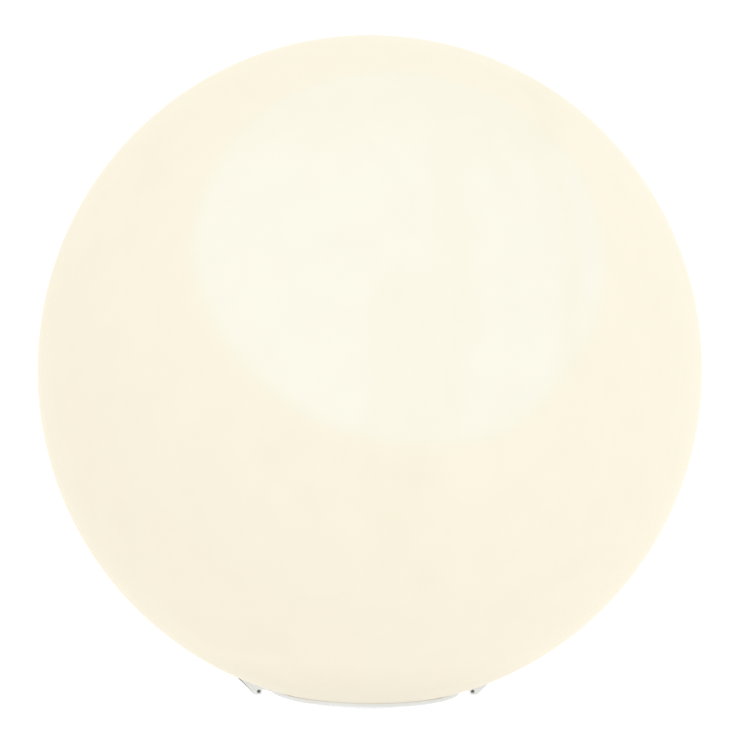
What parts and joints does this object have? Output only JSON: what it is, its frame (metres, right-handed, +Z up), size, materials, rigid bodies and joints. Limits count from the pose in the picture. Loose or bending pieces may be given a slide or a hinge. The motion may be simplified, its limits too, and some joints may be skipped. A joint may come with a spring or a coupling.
{
  "type": "floating pool light",
  "caption": "Milky ball-shaped pool light that floats or stands on a table, with a screw-in rechargeable base unit, push button, charging plug and two tether lugs.",
  "frame": {"origin": "on the floor under the middle of the globe, in the plane of the flat foot", "axes": "+Z up along the globe's axis, -Y is the front, the tether lugs point along -X and +X"},
  "size_m": [0.299, 0.299, 0.3017],
  "materials": {
    "milky_polyethylene": "satin, rotation-moulded",
    "white_abs": "satin",
    "grey_silicone": "matt",
    "clear_silicone": "satin",
    "black_plastic": "satin",
    "stainless_steel": "bright",
    "aluminium": "turned",
    "nickel": "nickel plated",
    "green_board": "solder mask",
    "white_board": "solder mask",
    "blue_cell_wrap": "shrink film",
    "black_tape": "woven tape",
    "led_phosphor": "cast phosphor",
    "frosted_polycarbonate": "frosted",
    "red_insulation": "extruded",
    "black_insulation": "extruded"
  },
  "bodies": {
    "base_unit": {"base_cover": "white_abs", "cover_seal": "clear_silicone", "cover_screw_1": "stainless_steel", "cover_screw_2": "stainless_steel", "cover_screw_3": "stainless_steel", "cover_screw_4": "stainless_steel", "base_housing": "white_abs", "ballast_ring": "stainless_steel", "tact_switch": "black_plastic", "switch_board": "green_board", "charge_jack": "aluminium", "plug_anchor": "grey_silicone", "battery_holder": "black_plastic", "battery_cell_1": "blue_cell_wrap", "battery_cell_2": "blue_cell_wrap", "battery_strap": "black_tape", "cell_strip_left": "nickel", "cell_strip_right": "nickel", "battery_lead_red": "red_insulation", "battery_lead_black": "black_insulation", "switch_cable": "grey_silicone", "control_board": "green_board", "controller_chip": "black_plastic", "power_inductor": "black_plastic", "filter_capacitor_1": "aluminium", "filter_capacitor_2": "aluminium", "board_connector": "white_board", "heat_spreader": "aluminium", "led_board": "white_board", "led_1": "led_phosphor", "led_2": "led_phosphor", "led_3": "led_phosphor", "led_4": "led_phosphor", "led_5": "led_phosphor", "led_6": "led_phosphor", "led_7": "led_phosphor", "led_8": "led_phosphor", "led_screw_1": "stainless_steel", "led_screw_2": "stainless_steel", "led_screw_3": "stainless_steel", "led_lead_red": "red_insulation", "led_lead_black": "black_insulation", "lens_dome": "frosted_polycarbonate", "dome_seal": "clear_silicone"},
    "neck_seal": {"neck_gasket": "clear_silicone"},
    "globe": {"globe_shell": "milky_polyethylene", "neck_ring": "white_abs"},
    "button": {"power_button": "grey_silicone", "switch_plunger": "black_plastic"},
    "plug": {"charge_plug": "grey_silicone"}
  },
  "joints": [
    {"name": "globe_rise", "type": "slide", "parent": "base_unit", "child": "neck_seal", "axis": [0, 0, 1], "range_m": [0, 0.0901]},
    {"name": "globe_turn", "type": "hinge", "parent": "neck_seal", "child": "globe", "pos_m": [0, 0, 0.0074], "axis": [0, 0, 1], "range_deg": [0, 1800]},
    {"name": "button_press", "type": "slide", "parent": "base_unit", "child": "button", "axis": [0, 0, 1], "range_m": [0, 0.001], "stiffness_N_per_m": 600, "springref_m": -0.0005},
    {"name": "plug_swing", "type": "hinge", "parent": "base_unit", "child": "plug", "pos_m": [0.0016, 0, 0.0026], "axis": [0, 1, 0], "range_deg": [0, 120]}
  ],
  "couplings": [
    {"joint": "globe_rise", "follows": "globe_turn", "m_per_rad": 0.0028648}
  ]
}
